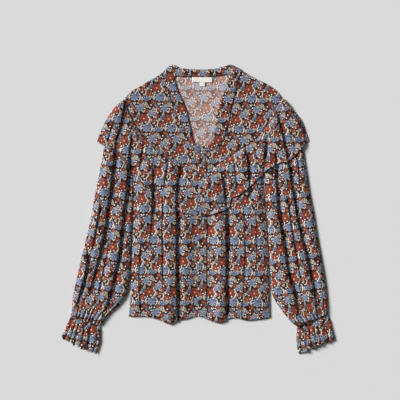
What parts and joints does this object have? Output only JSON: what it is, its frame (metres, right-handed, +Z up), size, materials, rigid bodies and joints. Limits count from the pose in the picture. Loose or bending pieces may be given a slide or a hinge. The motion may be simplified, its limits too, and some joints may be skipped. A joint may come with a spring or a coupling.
{
  "type": "flat-laid printed blouse",
  "caption": "Long-sleeved V-neck blouse laid flat, with a narrow neck band, smooth yokes, a gathered flounce over each shoulder and frilled cuffs.",
  "frame": {"origin": "centre of the blouse's outline, on the surface that it lies on", "axes": "+X to the right seen from above, +Y towards the neck, +Z up out of the surface"},
  "size_m": [0.706, 0.756, 0.019],
  "materials": {
    "printed_cloth": "soft matt viscose with a small flower print",
    "wrong_side": "paler wrong side of the same print",
    "label_tape": "woven satin tape"
  },
  "bodies": {
    "root": {"back": "wrong_side", "front_left": "printed_cloth", "front_right": "printed_cloth", "yoke_left": "printed_cloth", "yoke_right": "printed_cloth", "neck_band": "printed_cloth", "placket": "printed_cloth", "ruffle_left": "printed_cloth", "ruffle_right": "printed_cloth", "sleeve_left": "printed_cloth", "sleeve_right": "printed_cloth", "cuff_left": "printed_cloth", "cuff_right": "printed_cloth", "label": "label_tape", "size_tab": "label_tape"}
  },
  "joints": []
}
